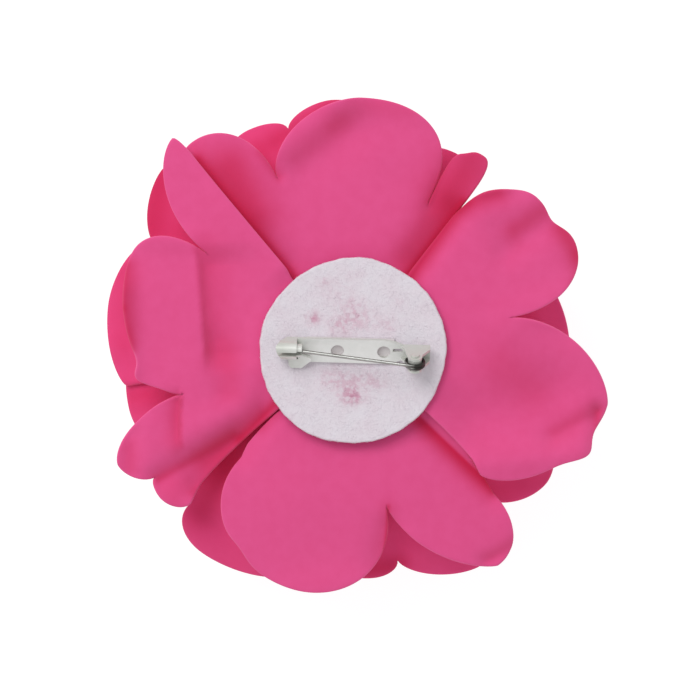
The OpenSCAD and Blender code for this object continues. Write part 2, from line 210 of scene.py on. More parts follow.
def outline_directions(lobes: tuple[Lobe, ...], step: float) -> Array:
    """Directions evenly spaced along the outline, with one at each notch and each lobe's peak.

    Args:
        lobes: The outline's lobes in order.
        step: Longest step along the outline, in millimetres.

    Returns:
        Rising directions in degrees.
    """
    dirs = [np.array([lobes[0].start])]
    for lobe in lobes:
        for low, high in ((lobe.start, lobe.peak), (lobe.peak, lobe.end)):
            fine = low + (high - low) * (1 - np.cos(np.linspace(0, math.pi, OUTLINE_SAMPLES))) / 2
            r, turn = outline_radius((lobe,), (), fine), np.radians(fine)
            along = np.cumsum(np.hypot(np.diff(r * np.cos(turn)), np.diff(r * np.sin(turn))))
            n = max(FEWEST_STEPS, math.ceil(along[-1] / step))
            dirs.append(np.interp(np.arange(1, n + 1) / n * along[-1], np.concatenate([[0], along]), fine))
    return np.concatenate(dirs)


def steps_to_edge(count: int, *last: float) -> Array:
    """Even steps from 0, then the given finer ones and 1, as one row."""
    return np.concatenate([np.linspace(0, 1, count)[:-1], [*last, 1.0]])[None, :]


def ring_radii(reach: Array, root: float, middle: float, rings: tuple[int, int]) -> Array:
    """Radii that are round as far as a middle radius and then grow into the outline.

    Args:
        reach: The outline's radius in each direction, as a column.
        root: The inner edge's radius.
        middle: The last round ring.
        rings: Number of rings inside and outside the middle.

    Returns:
        One row of radii for each direction.
    """
    inner = np.linspace(root, middle, rings[0])[None, :-1] + 0 * reach
    t = steps_to_edge(rings[1], 0.985, 0.992, 0.997)
    return np.concatenate([inner, middle + (reach - middle) * t], axis=1)


def show(name: str, data: ID) -> Object:
    """Puts a new object in the scene with its mesh, light or camera."""
    obj = bpy.data.objects.new(name, data)
    bpy.context.scene.collection.objects.link(obj)
    return obj


@dataclass
class ClothSheet:
    """A closed sheet of cloth on a grid of points, thin and rounded at its cut edges."""

    grid: Array
    flat: Array
    thickness: float
    normal: Array | None = None
    # Share of painted shade at each point.
    shade: Array | None = None
    round_over: float = 0.45
    rim_width: float = 0.6
    rim_share: float = 0.15
    chunks: int = 24

    def to_edge(self) -> Array:
        """Distance to the nearest cut edge, exact within a few millimetres of it.

        Returns:
            One distance for each grid point, in millimetres.
        """
        g = self.grid
        border = np.concatenate([g[0], g[1:, -1], g[-1, -2::-1], g[-2::-1, 0]])
        start, along = border[:-1], np.diff(border, axis=0)
        keep = np.linalg.norm(along, axis=1) > SHORTEST
        start, along = start[keep], along[keep]
        span = (along**2).sum(1)
        gaps = []
        for point in np.array_split(g.reshape(-1, 3), self.chunks):
            reach = point[:, None, :] - start[None]
            t = np.clip((reach * along).sum(2) / span, 0, 1)
            gaps.append(np.sqrt(((reach - t[..., None] * along) ** 2).sum(2).min(1)))
        return np.concatenate(gaps).reshape(g.shape[:2])

    def build(self, name: str) -> Object:
        """Makes the sheet's mesh with its cut-flat UV map, its edge attribute and its painted-shade
        attribute.

        Args:
            name: The object's name.

        Returns:
            The new object, riding on its body.
        """
        grid = self.grid
        rows, cols = grid.shape[:2]
        normal = self.normal
        if normal is None:
            normal = np.cross(np.gradient(grid, axis=1), np.gradient(grid, axis=0))
            normal /= np.linalg.norm(normal, axis=2, keepdims=True)
        gap = self.to_edge()
        outward = 1 - np.clip(gap / self.round_over, 0, 1)
        half = self.thickness / 2 * (self.rim_share + (1 - self.rim_share) * np.sqrt(1 - outward**2))
        lift = normal * half[..., None]
        verts = np.concatenate([(grid + lift).reshape(-1, 3), (grid - lift).reshape(-1, 3)])
        index = np.arange(rows * cols).reshape(rows, cols)
        a, b, c, d = index[:-1, :-1], index[:-1, 1:], index[1:, :-1], index[1:, 1:]
        upper = np.stack([a, b, d, c], axis=-1).reshape(-1, 4)
        lower = np.stack([a, c, d, b], axis=-1).reshape(-1, 4) + rows * cols
        ring = np.concatenate([index[0, :], index[1:, -1], index[-1, -2::-1], index[-2:0:-1, 0]])
        after = np.roll(ring, -1)
        wall = np.stack([ring, ring + rows * cols, after + rows * cols, after], axis=-1)
        faces = np.concatenate([upper, lower, wall])
        flat = np.concatenate([self.flat.reshape(-1, 2)] * 2)
        # The rim band is partly the cut cloth's paler tone and partly a painted highlight; the shade values
        # are painted shade.
        rim = np.clip(1 - gap / self.rim_width, 0, 1)
        shade = np.zeros_like(gap) if self.shade is None else np.clip(self.shade, 0, 1)
        values = {"cut_edge": np.stack([rim, rim]).ravel(), "painted_shade": np.stack([shade, shade]).ravel()}
        obj = mesh_object(name, verts * MM, faces, flat, values)
        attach(obj, "flower")
        return obj


def surface_normals(height: Height, x: Array, y: Array, step: float = 0.08) -> Array:
    """Normals of a surface whose height is a function of its place.

    Args:
        height: Gives the height at points x and y, in millimetres.
        x: Points across, in millimetres.
        y: Points up, in millimetres.
        step: Distance over which the slope is taken, in millimetres.

    Returns:
        One unit normal for each point.
    """
    dx = (height(x + step, y) - height(x - step, y)) / (2 * step)
    dy = (height(x, y + step) - height(x, y - step)) / (2 * step)
    normal = np.stack([-dx, -dy, np.ones_like(dx)], axis=-1)
    return normal / np.linalg.norm(normal, axis=-1, keepdims=True)


def mesh_object(name: str, verts: Array, faces: Array, flat: Array, values: dict[str, Array]) -> Object:
    """Makes an object from points and four-sided faces.

    Args:
        name: The object's name.
        verts: Points in metres.
        faces: Four point numbers a face.
        flat: The cloth's own coordinates of each point, in millimetres, kept as a UV map.
        values: Attributes' names, each with a value from 0 to 1 for each point.

    Returns:
        The new object, linked to the scene.
    """
    mesh = bpy.data.meshes.new(name)
    mesh.vertices.add(len(verts))
    mesh.vertices.foreach_set("co", np.asarray(verts, np.float32).ravel())
    mesh.loops.add(faces.size)
    mesh.loops.foreach_set("vertex_index", faces.astype(np.int32).ravel())
    mesh.polygons.add(len(faces))
    mesh.polygons.foreach_set("loop_start", np.arange(0, faces.size, faces.shape[1], dtype=np.int32))
    mesh.polygons.foreach_set("use_smooth", np.ones(len(faces), bool))
    layer = mesh.uv_layers.new(name="UVMap")
    layer.data.foreach_set("uv", flat[faces.ravel()].astype(np.float32).ravel())
    for key, value in values.items():
        attribute = mesh.attributes.new(key, "FLOAT", "POINT")
        attribute.data.foreach_set("value", value.astype(np.float32))
    mesh.update(calc_edges=True)
    mesh.validate()
    return show(name, mesh)


class Nodes:
    """A node tree with short ways to add to it."""

    def __init__(self, tree: NodeTree) -> None:
        """Takes a tree."""
        self.tree = tree

    def fill(self, node: Node, inputs: Inputs) -> None:
        """Sets a node's inputs.

        Args:
            node: The node.
            inputs: A value or the socket that feeds it, by the input's name or number.
        """
        for key, value in inputs.items():
            if isinstance(value, NodeSocket):
                self.tree.links.new(value, node.inputs[key])
            else:
                node.inputs[key].default_value = value

    def add(self, kind: str, inputs: Inputs | None = None, **settings: object) -> Node:
        """Adds a node.

        Args:
            kind: The node's type.
            inputs: Its inputs, as fill takes them.
            settings: Its own settings.

        Returns:
            The node.
        """
        node = self.tree.nodes.new(kind)
        for key, value in settings.items():
            setattr(node, key, value)
        self.fill(node, inputs or {})
        return node

    def math(self, operation: str, *values: object) -> NodeSocket:
        """Adds a math node on one or two sockets or numbers."""
        return self.add("ShaderNodeMath", dict(enumerate(values)), operation=operation).outputs[0]

    def blend(self, mask: NodeSocket, a: object, b: object) -> NodeSocket:
        """Mixes two colours.

        Args:
            mask: The mask's socket.
            a: A colour or a socket where the mask is 0.
            b: A colour or a socket where the mask is 1.

        Returns:
            The mixed colour's socket.
        """
        node = self.add("ShaderNodeMix", {"Factor": mask}, data_type="RGBA")
        places = [i for i, socket in enumerate(node.inputs) if socket.type == "RGBA"]
        for place, value in zip(places, (a, b)):
            self.fill(node, {place: (*value, 1) if isinstance(value, tuple) else value})
        return next(socket for socket in node.outputs if socket.type == "RGBA")

    def ramp(self, value: NodeSocket, low: float, high: float) -> NodeSocket:
        """Adds a node that spreads the values from low to high over 0 to 1."""
        inputs = {"Value": value, "From Min": low, "From Max": high}
        return self.add("ShaderNodeMapRange", inputs).outputs[0]

    def bump(self, height: NodeSocket, distance: float, strength: float) -> NodeSocket:
        """Adds a node that turns a height into a normal, with the relief's depth in metres."""
        inputs = {"Height": height, "Distance": distance, "Strength": strength}
        return self.add("ShaderNodeBump", inputs).outputs[0]


class NodeGroup(Nodes):
    """A node group with its input's sockets as given and its output node as out."""

    def __init__(self, name: str, kind: str, inputs: dict[str, str], outputs: dict[str, str]) -> None:
        """Starts a group.

        Args:
            name: The group's name.
            kind: Its type of tree.
            inputs: Type of each input's socket.
            outputs: Type of each output's socket.
        """
        super().__init__(bpy.data.node_groups.new(name, kind))
        for way, sockets in (("INPUT", inputs), ("OUTPUT", outputs)):
            for key, value in sockets.items():
                self.tree.interface.new_socket(key, in_out=way, socket_type=f"NodeSocket{value}")
        self.given = self.add("NodeGroupInput").outputs
        self.out = self.add("NodeGroupOutput")


def fine_weave() -> NodeTree:
    """A fine plain weave over the cloth's own coordinates, with slow changes of tone.

    Returns:
        The node group, with outputs Height and Tone.
    """
    inputs = dict.fromkeys(("Thread", "Weave", "Crumple", "Patch"), "Float")
    group = NodeGroup("fine_weave", "ShaderNodeTree", inputs, {"Height": "Float", "Tone": "Float"})
    given = group.given
    uv = group.add("ShaderNodeUVMap", uv_map="UVMap").outputs[0]
    parts = group.add("ShaderNodeSeparateXYZ", {0: uv}).outputs
    turns = group.math("DIVIDE", math.pi, given["Thread"])
    warp, weft = (group.math("SINE", group.math("MULTIPLY", parts[i], turns)) for i in (0, 1))
    weave = group.math("ABSOLUTE", group.math("MULTIPLY", warp, weft))
    crumple = group.add("ShaderNodeTexNoise", {"Scale": 0.55, "Detail": 5, "Vector": uv}).outputs["Fac"]
    patch_scale = group.math("DIVIDE", 1.0, given["Patch"])
    patch = group.add("ShaderNodeTexNoise", {"Scale": patch_scale, "Detail": 3, "Vector": uv}).outputs["Fac"]
    weave = group.math("MULTIPLY", weave, given["Weave"])
    crumple = group.math("MULTIPLY", crumple, given["Crumple"])
    group.fill(group.out, {"Height": group.math("ADD", weave, crumple), "Tone": patch})
    return group.tree


def speckle() -> NodeTree:
    """Even fine grain and slow mottling in the object's own space.

    Returns:
        The node group, with outputs Grain and Mottle.
    """
    group = NodeGroup("speckle", "ShaderNodeTree", {"Grain Scale": "Float", "Mottle Scale": "Float"},
                      {"Grain": "Float", "Mottle": "Float"})
    place = group.add("ShaderNodeTexCoord").outputs["Object"]
    for key, detail in (("Grain", 4), ("Mottle", 3)):
        scale = group.given[f"{key} Scale"]
        noise = group.add("ShaderNodeTexNoise", {"Detail": detail, "Vector": place, "Scale": scale})
        group.fill(group.out, {key: noise.outputs["Fac"]})
    return group.tree


def make_material(name: str, paint: Callable[[Nodes], Inputs]) -> Material:
    """Makes a material.

    Args:
        name: Its name.
        paint: Adds nodes to the material's nodes and gives the shader's inputs.

    Returns:
        The material.
    """
    material = bpy.data.materials.new(name)
    material.use_nodes = True
    nodes = Nodes(material.node_tree)
    nodes.fill(nodes.tree.nodes["Principled BSDF"], paint(nodes))
    return material


@dataclass(frozen=True)
class Finish:
    """What every finish has: a name, the shared node group that it uses, and the group's values."""

    name: str
    group: NodeTree
    values: ClassVar[dict[str, float]] = {}

    def effect(self, nodes: Nodes) -> NodeOutputs:
        """Places the shared node group in a material and gives its outputs."""
        return nodes.add("ShaderNodeGroup", self.values, node_tree=self.group).outputs


@dataclass(frozen=True)
class PetalCloth(Finish):
    """Matte dyed fabric, heat-set to shape, with slightly paler cut edges that are partly a painted
    highlight, and painted shade blended in from an attribute.
    """

    light: Colour = (0.775, 0.084, 0.27)
    dark: Colour = (0.76, 0.078, 0.256)
    # Paler cut edge, partly the cloth's own paler cut and partly a painted highlight.
    cut: Colour = (0.8, 0.108, 0.3)
    # Colour of the painted shade in creases, seams, slits and gaps.
    deep: Colour = (0.58, 0.006, 0.058)
    values = {"Thread": 0.22, "Weave": 0.35, "Crumple": 0.9, "Patch": 2.5}

    def paint(self, nodes: Nodes) -> Inputs:
        """Adds the cloth's tones, its paler cut edges with their painted highlight, the painted shade and the
        weave.

        Args:
            nodes: The material's nodes.

        Returns:
            The shader's inputs.
        """
        weave = self.effect(nodes)
        # The second attribute carries the painted shade, blended towards the deep colour below.
        edge, dye = (nodes.add("ShaderNodeAttribute", attribute_name=key).outputs["Fac"]
                     for key in ("cut_edge", "painted_shade"))
        colour = nodes.blend(nodes.ramp(weave["Tone"], 0.35, 0.65), self.dark, self.light)
        colour = nodes.blend(nodes.ramp(edge, 0.6, 1.0), colour, self.cut)
        return {
            "Base Color": nodes.blend(dye, colour, self.deep),
            "Roughness": 0.88,
            "Sheen Weight": 0.08,
            "Sheen Roughness": 0.6,
            "Specular IOR Level": 0.25,
            "Normal": nodes.bump(weave["Height"], 0.00006, 0.6),
        }


@dataclass(frozen=True)
class Stain:
    """A pink mark on the felt, by photograph place in millimetres from the hub."""

    x: float
    y: float
    wide: float
    high: float
    strength: float


@dataclass(frozen=True)
class Felt(Finish):
    """Off-white felt, mottled and marked by the petals' dye."""

    light: Colour = (0.765, 0.715, 0.775)
    dark: Colour = (0.75, 0.67, 0.735)
    dye: Colour = (0.56, 0.2, 0.33)
    stains: tuple[Stain, ...] = (
        Stain(-7.8, 6.3, 1.3, 1.3, 1.4),
        Stain(-2.4, 4.9, 2.2, 1.5, 0.85),
        Stain(1.0, 6.0, 3.4, 2.4, 0.62),
        Stain(0.2, 8.6, 2.4, 1.8, 0.55),
        Stain(7.0, 5.0, 1.9, 1.3, 0.5),
        Stain(9.0, 9.8, 1.8, 1.4, 0.22),
        Stain(-5.6, 13.5, 1.2, 1.2, 0.45),
        Stain(-3.0, 11.5, 3.2, 3.0, 0.25),
        Stain(0.5, 15.0, 2.2, 1.2, 0.2),
        Stain(-4.6, -5.4, 2.4, 1.8, 0.6),
        Stain(0.4, -5.6, 4.4, 2.6, 0.62),
        Stain(-0.6, -8.6, 2.6, 1.9, 1.1),
        Stain(0.4, -9.4, 1.2, 0.9, 0.9),
        Stain(4.6, -6.4, 2.2, 1.6, 0.35),
    )
    values = {"Grain Scale": 2600, "Mottle Scale": 260}

    def paint(self, nodes: Nodes) -> Inputs:
        """Adds the felt's mottling, stains and grain.

        Args:
            nodes: The material's nodes.

        Returns:
            The shader's inputs.
        """
        grain = self.effect(nodes)
        colour = nodes.blend(nodes.ramp(grain["Mottle"], 0.3, 0.7), self.dark, self.light)
        place = nodes.add("ShaderNodeTexCoord").outputs["Object"]
        parts = nodes.add("ShaderNodeSeparateXYZ", {0: place}).outputs
        blot = nodes.add("ShaderNodeTexNoise", {"Scale": 950, "Detail": 2, "Vector": place})
        total = None
        for stain in self.stains:
            squares = []
            for axis, middle, reach in ((0, stain.x, stain.wide), (1, stain.y, stain.high)):
                gap = nodes.math("SUBTRACT", parts[axis], (HUB[axis] + middle) * MM)
                squares.append(nodes.math("POWER", nodes.math("DIVIDE", gap, reach * MM), 2))
            spot = nodes.math("EXPONENT", nodes.math("MULTIPLY", nodes.math("ADD", *squares), -1))
            spot = nodes.math("MULTIPLY", spot, stain.strength)
            total = spot if total is None else nodes.math("ADD", total, spot)
        broken = nodes.math("ADD", nodes.ramp(blot.outputs["Fac"], 0.42, 0.6), 0.4)
        mask = nodes.math("MULTIPLY", nodes.math("MULTIPLY", total, broken), 0.38)
        return {
            "Base Color": nodes.blend(nodes.math("MINIMUM", mask, 0.75), colour, self.dye),
            "Roughness": 0.95,
            "Sheen Weight": 0.2,
            "Sheen Roughness": 0.7,
            "Specular IOR Level": 0.2,
            "Normal": nodes.bump(grain["Grain"], 0.00025, 0.55),
        }


@dataclass(frozen=True)
class Nickel(Finish):
    """Thin nickel plating on pressed steel, with painted shade that darkens it towards the ends and on faces
    turned upwards.
    """

    metal: Colour = (0.95, 0.945, 0.93)
    # Colour of the painted shade at the ends and on upward-facing faces, also taken by the plating's random
    # patches.
    dull_and_shaded: Colour = (0.61, 0.625, 0.58)
    metallic: float = 0.32
    # Distances from the middle, in millimetres, over which the painted shade grows towards the ends.
    shaded_ends: tuple[float, float] = (6, 14)
    values = {"Grain Scale": 3000, "Mottle Scale": 500}

    def paint(self, nodes: Nodes) -> Inputs:
        """Adds the painted shade towards the ends and on upward-facing faces, the plating's patches and its
        grain.

        Args:
            nodes: The material's nodes.

        Returns:
            The shader's inputs.
        """
        grain = self.effect(nodes)
        coords = nodes.add("ShaderNodeTexCoord").outputs
        along, facing = (nodes.add("ShaderNodeSeparateXYZ", {0: coords[key]}).outputs[axis]
                         for axis, key in enumerate(("Object", "Normal")))
        middle = nodes.math("ABSOLUTE", nodes.math("ADD", along, 1.5 * MM))
        # Painted shade, darker towards both ends of the pin.
        ends = nodes.ramp(middle, self.shaded_ends[0] * MM, self.shaded_ends[1] * MM)
        # Painted shade by facing: faces that point upwards take the duller colour.
        facing_shade = nodes.ramp(facing, 0.6, 0.85)
        patch = nodes.math("MULTIPLY", nodes.ramp(grain["Mottle"], 0.35, 0.75), 0.2)
        mask = nodes.math("ADD", nodes.math("ADD", ends, facing_shade), patch)
        rough = nodes.add("ShaderNodeMapRange", {"Value": grain["Grain"], "To Min": 0.3, "To Max": 0.4})
        return {
            "Base Color": nodes.blend(nodes.math("MINIMUM", mask, 1.0), self.metal, self.dull_and_shaded),
            "Roughness": rough.outputs[0],
            "Metallic": self.metallic,
            "Normal": nodes.bump(grain["Mottle"], 0.00004, 0.1),
        }


@dataclass(frozen=True)
class Glue(Finish):
    """Dried clear glue with a milky body."""

    body: Colour = (0.72, 0.68, 0.69)
    thick: Colour = (0.6, 0.54, 0.55)
    values = {"Grain Scale": 900, "Mottle Scale": 350}

    def paint(self, nodes: Nodes) -> Inputs:
        """Adds the glue's milky patches and lumps, and gives the shader's inputs."""
        grain = self.effect(nodes)
        colour = nodes.blend(nodes.ramp(grain["Mottle"], 0.3, 0.7), self.body, self.thick)
        return {"Base Color": colour, "Roughness": 0.3, "Normal": nodes.bump(grain["Grain"], 0.0001, 0.4)}


class Wardrobe:
    """All the finishes of the brooch, each made once."""

    def __init__(self) -> None:
        """Makes the materials."""
        weave, grain = fine_weave(), speckle()
        # The second petals' cloth is a darker, more saturated copy of the petal cloth: painted shade for the
        # layer that lies under the back petals, with its own colour for painted shade in creases.
        shaded_tones = ((0.79, 0.056, 0.215), (0.78, 0.052, 0.205), (0.82, 0.09, 0.27), (0.6, 0.01, 0.085))
        # The wire's second colour is painted shadow, taken towards both ends of the wire, where the coil and
        # the tip lie.
        wire_tones = ((0.46, 0.46, 0.44), (0.05, 0.05, 0.045))
        finishes = (
            PetalCloth("petal_cloth", weave),
            PetalCloth("petal_cloth_shaded", weave, *shaded_tones),
            Felt("felt", grain),
            Nickel("nickel", grain),
            Nickel("steel_wire", grain, *wire_tones, 0.9, (10, 13)),
            Glue("glue", grain),
        )
        made = [make_material(finish.name, finish.paint) for finish in finishes]
        self.petal, self.petal_deep, self.felt, self.nickel, self.wire, self.glue = made

    @staticmethod
    def wear(obj: Object, material: Material) -> None:
        """Gives an object one material.

        Args:
            obj: The object.
            material: The material.
        """
        if obj.material_slots:
            for place in obj.material_slots:
                place.material = material
        else:
            obj.data.materials.append(material)


@dataclass(frozen=True)
class SeamGap:
    """How far a petal's side edge draws back between two radii, in millimetres."""

    width: float
    from_r: float
    to_r: float
    fade_in: float = 3.0
    fade_out: float = 6.0

    def degrees(self, r: Array) -> Array:
        """The turn in degrees at each radius."""
        opened = smooth(r, self.from_r - self.fade_in, self.from_r)
        opened = opened * (1 - smooth(r, self.to_r, self.to_r + self.fade_out))
        return np.degrees(self.width * opened / np.maximum(r, 1))


@dataclass(frozen=True)
class PetalShape:
    """All that makes one back petal."""

    node: str
    level: int
    lobes: tuple[Lobe, ...]
    waves: tuple[Wave, ...]
    folds: tuple[Fold | Pleat, ...]
    # Strokes of painted shade: shadows along seams and edges, and shade in creases, slits and rims.
    shades: tuple[Shade, ...]
    sweep: tuple[float, float]
    first_gap: SeamGap
    last_gap: SeamGap
    seed: int


UPPER_RIGHT_SEAM = Fold(9.5, 12, 18.5, 25, 4.6, 2.3, 2.2)
LOWER_LEFT_SEAM = Fold(-15.5, -10.5, -31, -27, 2.6, 3.0, 3.8)
LOWER_RIGHT_SEAM = Fold(11.5, -13.5, 27, -28.5, 1.6, 1.5, 3.2)

TOP = PetalShape(
    "back_petal_top", 1,
    (
        Lobe(52.8, 36.5, 3.0, 56.3, 45.8, 4, 63.2, 32.6),
        Lobe(63.2, 32.6, 2.6, 88, 49.4, 1.6, 113.9, 36.8),
        Lobe(113.9, 36.8, 2, 128, 51.5, 2, 135, 44),
    ),
    (Wave(60.6, -1.1, 1.9),),
    (
        Fold(-14.5, 39, -4, 47.5, 4.5, -2.4),
        Fold(-4, 48.5, 12, 47.5, 4.2, -1.6),
        Fold(-10, 35.5, -3, 40.5, 4, 0.5),
        UPPER_RIGHT_SEAM,
        Fold(22, 38, 26.5, 36, 4.0, -1.2),
        Fold(14, 27, 17.5, 36, 1.6, 0.6),
        Fold(5, 38, 13, 40, 6, -0.5),
        Fold(-22, 27, -26, 40, 7, -1.3),
        Fold(-13, 14, -33, 39, 3, 0.9),
        Fold(-15.5, 33, -18.5, 38, 1.3, 0.5),
    ),
    # Painted shade: the seam shadow by the right petal, the dark narrow lobe, the shadow beside the left
    # petal's edge, and darker dents, rim and slits.
    (
        Shade(9, 11.5, 19.5, 26.3, 2.6, 0.75, 2.0),
        Shade(8.5, 12, 20.5, 28, 1.0, 0.8),
        Shade(9, 17, 16.5, 27.5, 3.2, 0.45),
        Shade(17, 27, 20, 32, 3.2, 0.2),
        Shade(18, 30, 23, 37, 5.5, 0.62),
        Shade(13.7, 28, 18, 36.5, 0.7, 0.35),
        Shade(-20.5, 25, -25, 34, 5, 0.7),
        Shade(-12.6, 13.2, -31.2, 36, 1.4, 0.85),
        Shade(-12, 37, -4, 43, 2.6, 0.18),
        Shade(-5, 42.5, -3, 44, 2.0, 0.2),
        Shade(0, 46.5, 10, 46.5, 2.4, 0.15),
        Shade(-15.7, 32.7, -19, 37.5, 1.1, 0.4),
    ),
    (0.2, -1.5), SeamGap(-1.5, 8, 28), SeamGap(-1.2, 8, 28), 11)

RIGHT = PetalShape(
    "back_petal_right", 0,
    (
        Lobe(-44.3, 34.6, 1.4, -12, 50.9, 1.4, 11.7, 31.6),
        Lobe(11.7, 31.6, 2, 27, 48.4, 1.85, 52.2, 36.0),
    ),
    (Wave(-24, 2.3, 3.4), Wave(33, -1.4, 3.5), Wave(42, 0.6, 3.5)),
    (
        Fold(24, -14, 38, -9.5, 7, 2.4),
        Fold(24, -23, 44, -21.5, 3.4, -1.5),
        Fold(38, -18.5, 47, -13.5, 2.1, 0.9),
        Fold(47, -13, 46, -22, 1.7, 1.2),
        Fold(37.5, 24, 29, 18, 3, 1.1),
        Fold(25, 25.5, 33.5, 28.5, 2.8, -0.8),
        Fold(42, 22, 44.5, 16, 3, 1.6),
        Fold(24.5, 31, 28.5, 31.5, 2, -1.1),
        Fold(30, 4.5, 41, 8.5, 4, -1.2),
        Fold(30, 4.5, 41, 2.5, 3, 0.5),
        UPPER_RIGHT_SEAM,
        Fold(12, -14, 27, -28, 4, -0.9),
    ),
    # Painted shade: along the seam with the top petal, in its hollows and bands, and at darker patches of its
    # rim.
    (
        Shade(9, 11.5, 20.8, 27.8, 1.9, 0.8),
        Shade(21.5, 28, 27, 29.5, 2.4, 0.65),
        Shade(37, 27, 30.5, 22.5, 1.9, 0.4),
        Shade(29.5, 22, 31, 19.5, 1.6, 0.12),
        Shade(39.8, 22.5, 42.8, 17.5, 2.3, 0.65),
        Shade(42.8, 17.5, 42.5, 12, 1.5, 0.35),
        Shade(28, -4, 34, -9, 4.6, 0.25),
        Shade(38.5, -17, 46, -12.5, 1.8, 0.3),
        Shade(46.8, -13.5, 47, -21.5, 1.2, 0.4),
    ),
    (6, 0), SeamGap(0, 17, 30), SeamGap(-0.7, 19, 32), 21)

BOTTOM = PetalShape(
    "back_petal_bottom", 1,
    (
        Lobe(223.8, 30.2, 1.9, 257, 48.1, 2, 281.8, 31.2),
        Lobe(281.8, 31.2, 1.2, 304, 50.7, 2, 314.6, 39),
    ),
    (Wave(240, -0.8, 4),),
    (
        Fold(6, -36, 4.5, -43, 2.8, 1.3),
        Fold(25, -42.5, 31.5, -39.3, 1.8, 0.9),
        Fold(31.5, -37, 31.5, -40, 1.5, 0.6),
        LOWER_RIGHT_SEAM,
        Fold(-16, -11, -23, -21, 2.6, 1.6),
        Fold(-12, -49, 4, -47, 4, -0.8),
        Fold(-14, -30, 2, -26, 8, -0.5),
    ),
    # Painted shade: the shadow under the right petal's edge, along the slit, at a dented tip and by the left
    # seam.
    (
        Shade(12, -14.5, 26.3, -28, 0.7, 0.9, 2.2),
        Shade(5.8, -32, 4.6, -43, 1.9, 0.25),
        Shade(5.9, -31.5, 5.2, -40.5, 0.45, 0.6),
        Shade(25.5, -41.3, 31, -38.3, 1.5, 0.25),
        Shade(-15, -12, -19, -16, 1.5, 0.4),
    ),
    (-7, 4.5), SeamGap(0, 17, 26), SeamGap(-1.2, 8, 28), 31)

LEFT = PetalShape(
    "back_petal_left", 0,
    (
        Lobe(129.9, 49.5, 2, 130.8, 54.4, 1.5, 146.3, 34.3),
        Lobe(146.3, 34.3, 2.2, 157, 47.2, 1.5, 194.9, 34.6),
        Lobe(194.9, 34.6, 1.6, 206, 51.1, 1.6, 212.6, 46),
        Lobe(212.6, 46, 2, 217, 47.4, 1.8, 223.4, 43.5),
    ),
    (Wave(187.5, 2.6, 3.4),),
    (
        Pleat(-29.9, -4, -31.2, 17.5, 3.6, 1.7, 2.5),
        Fold(-26, -9, -27.5, 0, 3, 0.9),
        Fold(-46.5, -4, -47, 10, 3.4, -2.2),
        Fold(-15, 16.4, -35, 40.5, 6, -2.0),
        Pleat(-34.4, -9.5, -34.6, -18.5, 1.0, 1.2, 2.0),
        Fold(-45, -25, -44.5, -18, 2, 0.7),
        Fold(-41, -16, -41, -23, 2.5, -0.6),
        Fold(-38.8, -26, -24, -17.8, 2.6, 1.5),
        LOWER_LEFT_SEAM,
        Fold(-36, -18, -20, -12.5, 3.5, -0.7),
        Fold(-35, -31.5, -38, -28, 2.5, 0.5),
        Fold(-41, 21, -33, 20.5, 2.5, -0.7),
    ),
    # Painted shade: beside its folds and crease, along its left rim, and by the dark seam with the bottom
    # petal.
    (
        Shade(-29.7, -1, -31.2, 17.5, 0.6, 0.3, 5.6),
        Shade(-25.5, -2, -25, -9, 3.0, 0.26),
        Shade(-44.6, 15, -44.6, 1, 2.0, 0.4),
        Shade(-45.3, 15.5, -45.8, 7, 0.9, 0.5),
        Shade(-45.8, 7, -44.2, -1, 0.9, 0.5),
        Shade(-34.4, -11, -34.5, -19, 0.4, 0.42, 2.8),
        Shade(-44.5, -20, -44.3, -24, 1.7, 0.25),
        Shade(-39, -26.3, -24.5, -17.5, 1.4, 0.5, 0.9),
        Shade(-30, -22.5, -19, -14.5, 2.6, 0.5),
        Shade(-36, -29, -27, -21, 3.4, 0.25),
        Shade(-15.5, -11, -23, -18.5, 1.3, 0.75),
        Shade(-23, -18.5, -32, -29, 1.3, 0.35),
    ),
    (0.4, -6.6), SeamGap(-0.5, 21, 54), SeamGap(0, 17, 26), 41)


@dataclass
class Petals:
    """What every layer of petals has: its levels, its cloth and a way to hang it in the model."""

    wardrobe: Wardrobe
    back_z: float = 31.84
    level_step: float = 1.22
    thickness: float = 0.8
    root_r: float = 2.0

    def hang(self, node: str, sheet: ClothSheet, finish: Material, slot: str, rests_on: str) -> Object:
        """Args:
            node: The solid.
            sheet: The petal's cloth.
            finish: Its material.
            slot: Not used.
            rests_on: Not used.

        Returns:
            The petal.
        """
        obj = sheet.build(f"cloth_{node}")
        self.wardrobe.wear(obj, finish)
        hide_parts(node)
        return obj


